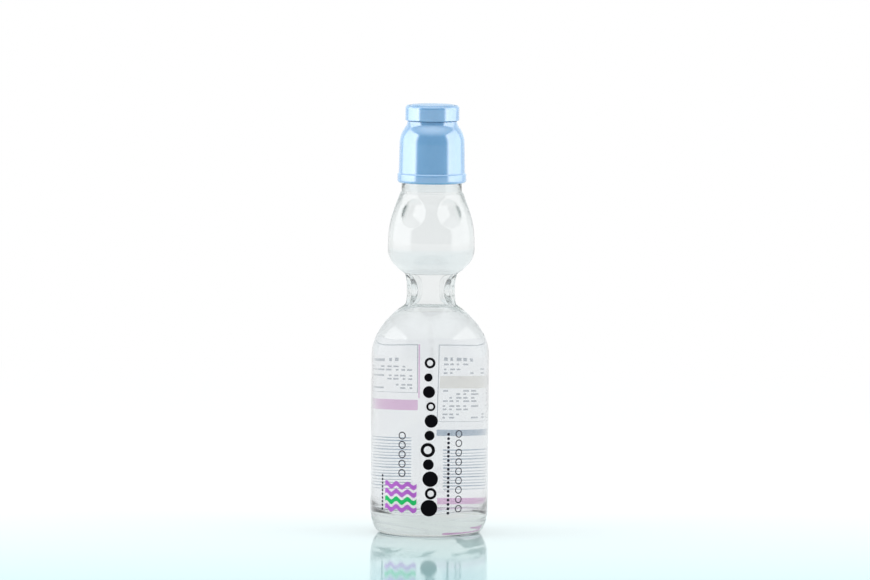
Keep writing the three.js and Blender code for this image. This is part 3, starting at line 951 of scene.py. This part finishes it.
cap = {
    "segments": 128,
    "step": 0.6,
    "roundStep": 0.2,
    "bellStep": 0.4,
    "overlap": 1.2,
    "clearance": 0.35,
    "rimRadius": 16.65,
    "rimHeight": 4.8,
    "rimRound": 1.1,
    "rimSoft": 0.35,
    "skirtRadius": 16.05,
    "bellTop": 15.75,
    "bellShoulder": 11.4,
    "bellPull": 7.4,
    "seatPull": 3.2,
    "seatRadius": 12.0,
    "seatEdge": 0.3,
    "seatSoft": 0.25,
    "crownHeight": 6.2,
    "orifice": 7.0,
    "mouthRadius": 10.9,
    "mouthHeight": 1.9,
    "mouthRound": 0.7,
    "crownWall": 1.7,
    "crownHollow": 4.0,
    "innerSoft": 0.2,
    "boreMargin": 0.01,  # mm from the bore that count as on it
}
capBottom = neckTop - cap["overlap"]
capCeiling = gasketTop + gasket["gap"]
hollowTop = capCeiling + cap["crownHollow"]
seatHeight = capCeiling + cap["crownHeight"]
seatStart = seatHeight - cap["seatEdge"]
mouthTop = seatHeight + cap["mouthHeight"]
mouthStart = mouthTop - cap["mouthRound"]
skirtBore = glass["neckRadius"] + cap["clearance"]
skirtStart = capBottom + 0.5  # where the loop round the cap's section starts and ends
capBore = glass["finishRadius"] + thread["depth"] + thread["clearance"]
pocket = gasket["outer"] + gasket["gap"]
rimMiddle = cap["rimRadius"] - cap["rimRound"]
rimStart = capBottom + cap["rimRound"]
rimTop = capBottom + cap["rimHeight"]
rimStep = cap["rimRadius"] - cap["skirtRadius"]
shoulderStart = seatHeight - cap["bellShoulder"]
collarClear = neckTop + cap["clearance"]
orificeWall = cap["orifice"] + cap["crownWall"]
crownInner = cap["seatRadius"] - cap["crownWall"]
capLoop = tracedRuns([
    softRun([(skirtBore, skirtStart), (skirtBore, capBottom), (rimMiddle, capBottom)], cap["innerSoft"]),
    arcRun((rimMiddle, rimStart), cap["rimRound"], -90, 0, cap["roundStep"]),
    softRun([(cap["rimRadius"], rimStart), (cap["rimRadius"], rimTop - rimStep), (cap["skirtRadius"], rimTop),
             (cap["bellTop"], shoulderStart)], cap["rimSoft"]),
    bezierRun([(cap["bellTop"], shoulderStart), (cap["bellTop"], shoulderStart + cap["bellPull"]),
               (cap["seatRadius"], seatHeight - cap["seatPull"]), (cap["seatRadius"], seatStart)],
              cap["bellStep"]),
    softRun([(cap["seatRadius"], seatStart), (cap["seatRadius"], seatHeight),
             (cap["mouthRadius"], seatHeight), (cap["mouthRadius"], mouthStart)], cap["seatSoft"]),
    arcRun((cap["mouthRadius"] - cap["mouthRound"], mouthStart), cap["mouthRound"], 0, 90, cap["roundStep"]),
    arcRun((cap["orifice"] + cap["mouthRound"], mouthStart), cap["mouthRound"], 90, 180, cap["roundStep"]),
    softRun([(cap["orifice"], mouthStart), (cap["orifice"], capCeiling), (orificeWall, capCeiling),
             (orificeWall, hollowTop), (crownInner, hollowTop), (crownInner, capCeiling),
             (pocket, capCeiling), (pocket, gasketBottom), (capBore, gasketBottom - (capBore - pocket)),
             (capBore, collarClear + skirtBore - capBore), (skirtBore, collarClear),
             (skirtBore, skirtStart)], cap["innerSoft"]),
], cap["step"])


def capSurface(radius, azimuth, height, index):
    if abs(radius - capBore) < cap["boreMargin"]:
        between = (thread["root"] + thread["crest"]) / 2  # the cap's ridge lies under the bottle's
        start = finishBottom + thread["start"] - between - thread["play"]
        return radius - threadRise(azimuth, height, start), height
    return radius, height


makePiece("mouthCap", turnedMesh(capLoop[:-1], cap["segments"], capSurface),
          bluePlastic, "cap", "mouth_cap")

ring = {
    "segments": 192,
    "step": 0.2,
    "radius": 13.05,
    "height": 7.2,
    "round": 1.3,
    "bottomSoft": 0.3,
    "topSoft": 0.2,
    "seatGap": 0.3,
    "clearance": 0.3,
    "boreMargin": 0.05,  # mm from the bore that count as on it
    "bridges": 6,
    "bridgeWidth": 1.6,
    "bridgeHeight": 1.0,
    "bridgeReach": 0.3,
    "bridgeSoft": (0.2, 0.1),  # across, up
}
pad = {
    "segments": 128,
    "step": 0.6,
    "cupStep": 0.3,
    "roundStep": 0.2,
    "gap": 0.6,
    "thickness": 1.8,
    "rise": 0.29,
    "round": 0.7,
    "soft": 0.3,
    "post": 4.2,
    "pressGap": 0.4,
}
ringBottom = seatHeight + ring["seatGap"]
ringTop = ringBottom + ring["height"]
ringBore = cap["mouthRadius"] + ring["clearance"]
ringStart = ringBottom + 0.4  # where the loop round the ring's section starts and ends
ringRound = ring["radius"] - ring["round"]
padTop = ringTop + pad["rise"]
padBottom = padTop - pad["thickness"]
padMiddle = (padTop + padBottom) / 2
ringLoop = tracedRuns([
    softRun([(ringBore, ringStart), (ringBore, ringBottom), (ring["radius"], ringBottom),
             (ring["radius"], ringTop - ring["round"])], ring["bottomSoft"]),
    arcRun((ringRound, ringTop - ring["round"]), ring["round"], 0, 90, ring["step"]),
    softRun([(ringRound, ringTop), (ringBore, ringTop), (ringBore, ringStart)], ring["topSoft"]),
], ring["step"])


def ringSurface(radius, azimuth, height, index):
    if radius - ringBore > ring["boreMargin"]:
        return radius, height
    spacing = 2 * math.pi / ring["bridges"]
    off = abs((azimuth % spacing) - spacing / 2) * ringBore
    halfWidth, halfHeight = ring["bridgeWidth"] / 2, ring["bridgeHeight"] / 2
    softAcross, softUp = ring["bridgeSoft"]
    nearAcross = 1 - smoothStep(halfWidth - softAcross, halfWidth + softAcross, off)
    nearUp = 1 - smoothStep(halfHeight - softUp, halfHeight + softUp, abs(height - padMiddle))
    return radius - ring["bridgeReach"] * nearAcross * nearUp, height


makePiece("pusherRing", turnedMesh(ringLoop[:-1], ring["segments"], ringSurface),
          bluePlastic, "ring", "pusher_ring")

padRadius = ringBore - pad["gap"]
cupRadius = marble["radius"] + pad["pressGap"]
cupEdge = math.degrees(math.acos(pad["post"] / cupRadius))
cup = arcRun((0, marbleHeight), cupRadius, 90, cupEdge, pad["cupStep"])
padLine = tracedRuns([
    [(0, cup[0][1])],
    cup[1:-1],
    softRun([cup[-2], cup[-1], (pad["post"], padBottom), (padRadius, padBottom),
             (padRadius, padTop - pad["round"])], pad["soft"]),
    arcRun((padRadius - pad["round"], padTop - pad["round"]), pad["round"], 0, 90, pad["roundStep"]),
    [(0, padTop)],
], pad["step"])
makePiece("pusher", turnedMesh(padLine, pad["segments"]), bluePlastic, "pusher", "pusher")


# Floor, light and camera. Distances here are metres.

studio = {
    "floor": "#F7FDFD",
    # the front colour is partly the sheet's cyan tint and partly painted shade, darker than the sheet, for
    # the bottle's shadow in front
    "frontTintAndShade": "#A4DADD",
    "cyanStart": 0.15,  # behind the bottle, where the tint and the painted shade start
    "cyanEnd": -0.85,  # in front, where they have gone again
    "cyanPeak": 0.4,  # share of that way where it is deepest
    "floorRoughness": 0.06,
    "floorGlossiest": 0.9,  # share of that roughness
    "floorDullest": 1.1,
    "floorIor": 1.49,
    "floorCloud": 60.0,  # mm across
    "nearFloor": 0.25,  # from the bottle, where the floor starts to fade into the background
    "farFloor": 0.9,
    "floorRadius": 4.0,
    "floorSegments": 96,
    "floorGap": 0.05,  # mm under the foot, so that the two faces never share a plane
    "underBottle": 0.9,  # brightness of the floor through the base, where the bottle shades it
    "underReach": 0.14,
    "worldDiffuse": 0.64,
    "roomTint": (0.955, 0.99, 1.0, 1),
    "room": 0.945,  # brightness of the backdrop through the glass
    "mirroredRoom": 1.1,  # and as gloss mirrors it
    "front": 0.8,  # the dim side where the camera stands, through the glass
    "mirroredFront": 0.35,  # and as gloss mirrors it
    "backdropEdges": (-0.3, 0.45),  # how far back a direction points where the backdrop starts, and is full
    "ceiling": 1.75,  # the lit ceiling as gloss mirrors it
    "ceilingEdges": (0.45, 0.9),  # how far up a direction points where the ceiling starts, and is full
}
white = (1, 1, 1, 1)


def glossyFloor():
    # White acrylic sheet, cast and polished: it mirrors the bottle at a low angle and turns cyan to the
    # front.
    # That cyan is partly the sheet's own tint and partly painted shade, for the shadow the bottle casts
    # towards the camera.
    material, tree = newMaterial("polishedAcrylicSheet")
    coords = addNode(tree, "ShaderNodeTexCoord")
    place = addNode(tree, "ShaderNodeSeparateXYZ", links={"Vector": coords.outputs["Object"]})
    forward = addNode(tree, "ShaderNodeMapRange",
                      {"From Min": studio["cyanStart"], "From Max": studio["cyanEnd"]},
                      {"Value": place.outputs["Y"]})
    speckle = addNode(tree, "ShaderNodeTexNoise", {"Scale": perMetre(studio["floorCloud"]), "Detail": 2.0},
                      {"Vector": coords.outputs["Object"]})
    ramp = addNode(tree, "ShaderNodeValToRGB", links={"Fac": forward.outputs["Result"]})
    ramp.color_ramp.elements[0].color = hexColour(studio["floor"])
    ramp.color_ramp.elements[1].color = hexColour(studio["floor"])
    # painted shade: the front band is darker than the sheet, standing in for the shadow the bottle casts
    # forward
    ramp.color_ramp.elements.new(studio["cyanPeak"]).color = hexColour(studio["frontTintAndShade"])
    gloss = addNode(tree, "ShaderNodeMapRange",
                    {"To Min": studio["floorRoughness"] * studio["floorGlossiest"],
                     "To Max": studio["floorRoughness"] * studio["floorDullest"]},
                    {"Value": speckle.outputs["Fac"]})
    sheet = addNode(tree, "ShaderNodeBsdfPrincipled", {"IOR": studio["floorIor"]},
                    {"Base Color": ramp.outputs["Color"], "Roughness": gloss.outputs["Result"]})
    rays = addNode(tree, "ShaderNodeLightPath")
    seen = addNode(tree, "ShaderNodeMath", {"operation": "MAXIMUM"},
                   {0: rays.outputs["Is Camera Ray"], 1: rays.outputs["Is Glossy Ray"]})
    away = addNode(tree, "ShaderNodeVectorMath", {"operation": "LENGTH"}, {0: coords.outputs["Object"]})
    far = addNode(tree, "ShaderNodeMapRange",
                  {"interpolation_type": "SMOOTHSTEP", "From Min": studio["nearFloor"],
                   "From Max": studio["farFloor"]},
                  {"Value": away.outputs["Value"]})
    faded = addNode(tree, "ShaderNodeMath", {"operation": "MULTIPLY"},
                    {0: far.outputs["Result"], 1: seen.outputs[0]})
    shade = addNode(tree, "ShaderNodeMapRange",
                    {"interpolation_type": "SMOOTHSTEP", "From Min": 0.0, "From Max": studio["underReach"],
                     "To Min": studio["underBottle"], "To Max": studio["room"]},
                    {"Value": away.outputs["Value"]})
    glow = addNode(tree, "ShaderNodeMix", {"A": 1.0},
                   {"Factor": rays.outputs["Is Transmission Ray"], "B": shade.outputs["Result"]})
    backdrop = addNode(tree, "ShaderNodeEmission", {"Color": white}, {"Strength": glow.outputs["Result"]})
    fade = addNode(tree, "ShaderNodeMath", {"operation": "MAXIMUM"},
                   {0: faded.outputs[0], 1: rays.outputs["Is Transmission Ray"]})
    mixed = addNode(tree, "ShaderNodeMixShader",
                    links={0: fade.outputs[0], 1: sheet.outputs["BSDF"], 2: backdrop.outputs["Emission"]})
    addNode(tree, "ShaderNodeOutputMaterial", links={"Surface": mixed.outputs["Shader"]})
    return material


floorMesh = bpy.data.meshes.new("floor")
work = bmesh.new()
bmesh.ops.create_circle(work, cap_ends=True, radius=studio["floorRadius"], segments=studio["floorSegments"])
work.to_mesh(floorMesh)
work.free()
floorMesh.materials.append(glossyFloor())
floor = bpy.data.objects.new("floor", floorMesh)
floor.location.z = -studio["floorGap"] * mm
bpy.context.collection.objects.link(floor)
print("floor laid")


def studioWorld():
    # White all round for the camera. Glass and gloss see the room a little darker, and dim on the
    # camera's side.
    world = bpy.data.worlds.new("studioWorld")
    world.use_nodes = True
    tree = world.node_tree
    tree.nodes.clear()
    coords = addNode(tree, "ShaderNodeTexCoord")
    way = addNode(tree, "ShaderNodeSeparateXYZ", links={"Vector": coords.outputs["Generated"]})
    start, full = studio["backdropEdges"]
    behind = addNode(tree, "ShaderNodeMapRange", {"From Min": start, "From Max": full},
                     {"Value": way.outputs["Y"]})
    start, full = studio["ceilingEdges"]
    above = addNode(tree, "ShaderNodeMapRange", {"From Min": start, "From Max": full},
                    {"Value": way.outputs["Z"]})
    around = addNode(tree, "ShaderNodeMath", {"operation": "MAXIMUM"},
                     {0: behind.outputs["Result"], 1: above.outputs["Result"]})
    rays = addNode(tree, "ShaderNodeLightPath")
    through = addNode(tree, "ShaderNodeMapRange", {"To Min": studio["front"], "To Max": studio["room"]},
                      {"Value": around.outputs[0]})
    wall = addNode(tree, "ShaderNodeMapRange",
                   {"To Min": studio["mirroredFront"], "To Max": studio["mirroredRoom"]},
                   {"Value": behind.outputs["Result"]})
    ceiling = addNode(tree, "ShaderNodeMath", {"operation": "MULTIPLY", 1: studio["ceiling"]},
                      {0: above.outputs["Result"]})
    mirrored = addNode(tree, "ShaderNodeMath", {"operation": "MAXIMUM"},
                       {0: wall.outputs["Result"], 1: ceiling.outputs[0]})
    level = addNode(tree, "ShaderNodeMix",
                    links={"Factor": rays.outputs["Is Transmission Ray"], "A": mirrored.outputs[0],
                           "B": through.outputs["Result"]})
    room = addNode(tree, "ShaderNodeBackground", {"Color": studio["roomTint"]},
                   {"Strength": level.outputs["Result"]})
    soft = addNode(tree, "ShaderNodeBackground", {"Color": white, "Strength": studio["worldDiffuse"]})
    backdrop = addNode(tree, "ShaderNodeBackground", {"Color": white, "Strength": 1.0})
    lit = addNode(tree, "ShaderNodeMixShader",
                  links={0: rays.outputs["Is Diffuse Ray"], 1: room.outputs[0], 2: soft.outputs[0]})
    seen = addNode(tree, "ShaderNodeMixShader",
                   links={0: rays.outputs["Is Camera Ray"], 1: lit.outputs[0], 2: backdrop.outputs[0]})
    addNode(tree, "ShaderNodeOutputWorld", links={"Surface": seen.outputs[0]})
    return world


bpy.context.scene.world = studioWorld()

# two softboxes, one each side: azimuth is measured round from the camera, frontEnd is the end nearer to it
softboxes = {
    "leftSoftbox": {"azimuth": -87.0, "radiance": 3.3, "frontEnd": 1},
    "rightSoftbox": {"azimuth": 87.0, "radiance": 2.8, "frontEnd": 0},
}
softbox = {
    "width": 1.16,
    "height": 0.9,
    "distance": 0.8,
    "middle": 0.455,
    "softEdge": 0.15,  # share of the height that fades at the top and at the bottom
    "softFront": 0.18,  # share of the width that fades at the front end
    "backLevel": 0.3,  # brightness of the back end
}
for name, box in softboxes.items():
    lamp = bpy.data.lights.new(name, "AREA")
    lamp.shape = "RECTANGLE"
    lamp.size = softbox["width"]
    lamp.size_y = softbox["height"]
    lamp.energy = box["radiance"] * math.pi * softbox["width"] * softbox["height"]  # watts for this radiance
    lamp.use_nodes = True  # a softbox fades towards its edges, and these towards the back too
    tree = lamp.node_tree
    face = addNode(tree, "ShaderNodeNewGeometry")
    spot = addNode(tree, "ShaderNodeSeparateXYZ", links={"Vector": face.outputs["Parametric"]})
    rise = addNode(tree, "ShaderNodeMath", {"operation": "PINGPONG", 1: 0.5}, {0: spot.outputs["Y"]})
    fade = addNode(tree, "ShaderNodeMapRange",
                   {"interpolation_type": "SMOOTHSTEP", "From Min": 0.0, "From Max": softbox["softEdge"],
                    "To Max": 1.0},
                   {"Value": rise.outputs[0]})
    back = addNode(tree, "ShaderNodeMapRange",
                   {"From Min": box["frontEnd"], "From Max": 1 - box["frontEnd"]},
                   {"Value": spot.outputs["X"]})
    across = addNode(tree, "ShaderNodeValToRGB", links={"Fac": back.outputs["Result"]})
    across.color_ramp.elements[0].color = (0, 0, 0, 1)
    grey = softbox["backLevel"]
    across.color_ramp.elements[1].color = (grey, grey, grey, 1)
    across.color_ramp.elements.new(softbox["softFront"]).color = white
    strength = addNode(tree, "ShaderNodeMath", {"operation": "MULTIPLY"},
                       {0: fade.outputs["Result"], 1: across.outputs["Color"]})
    tree.links.new(strength.outputs[0], tree.nodes["Emission"].inputs["Strength"])
    lampObject = bpy.data.objects.new(name, lamp)
    turn = math.radians(box["azimuth"])
    lampObject.location = (softbox["distance"] * math.sin(turn), -softbox["distance"] * math.cos(turn),
                           softbox["middle"])
    aim = Vector((0, 0, softbox["middle"])) - lampObject.location
    lampObject.rotation_euler = aim.to_track_quat("-Z", "Y").to_euler()
    lampObject.visible_camera = False
    lampObject.visible_transmission = False
    bpy.context.collection.objects.link(lampObject)
print("lights set")

camera = {
    "elevation": 4.8,
    "distance": 4.5,
    "roll": 0.5,
    "widthMm": 418.5,  # across the picture at the bottle
    "aimMm": (2.0, 117.0),  # across, up
    "sensorMm": 36,
    "farEnd": 60,
}
cameraData = bpy.data.cameras.new("photoCamera")
cameraData.sensor_width = camera["sensorMm"]
cameraData.lens = camera["sensorMm"] * camera["distance"] / (camera["widthMm"] * mm)
cameraData.clip_end = camera["farEnd"]
cameraObject = bpy.data.objects.new("photoCamera", cameraData)
tilt = math.radians(camera["elevation"])
target = Vector((camera["aimMm"][0] * mm, 0, camera["aimMm"][1] * mm))
cameraObject.location = target + camera["distance"] * Vector((0, -math.cos(tilt), math.sin(tilt)))
facing = (target - cameraObject.location).to_track_quat("-Z", "Y").to_matrix()
cameraObject.rotation_euler = (facing @ Matrix.Rotation(math.radians(camera["roll"]), 3, "Z")).to_euler()
bpy.context.collection.objects.link(cameraObject)

scene = bpy.context.scene
scene.camera = cameraObject
scene.view_settings.view_transform = "Standard"
lightBounces = 32  # film, glass and soda are crossed twice each
scene.cycles.max_bounces = lightBounces
scene.cycles.transmission_bounces = lightBounces
scene.cycles.glossy_bounces = lightBounces
print("camera set")
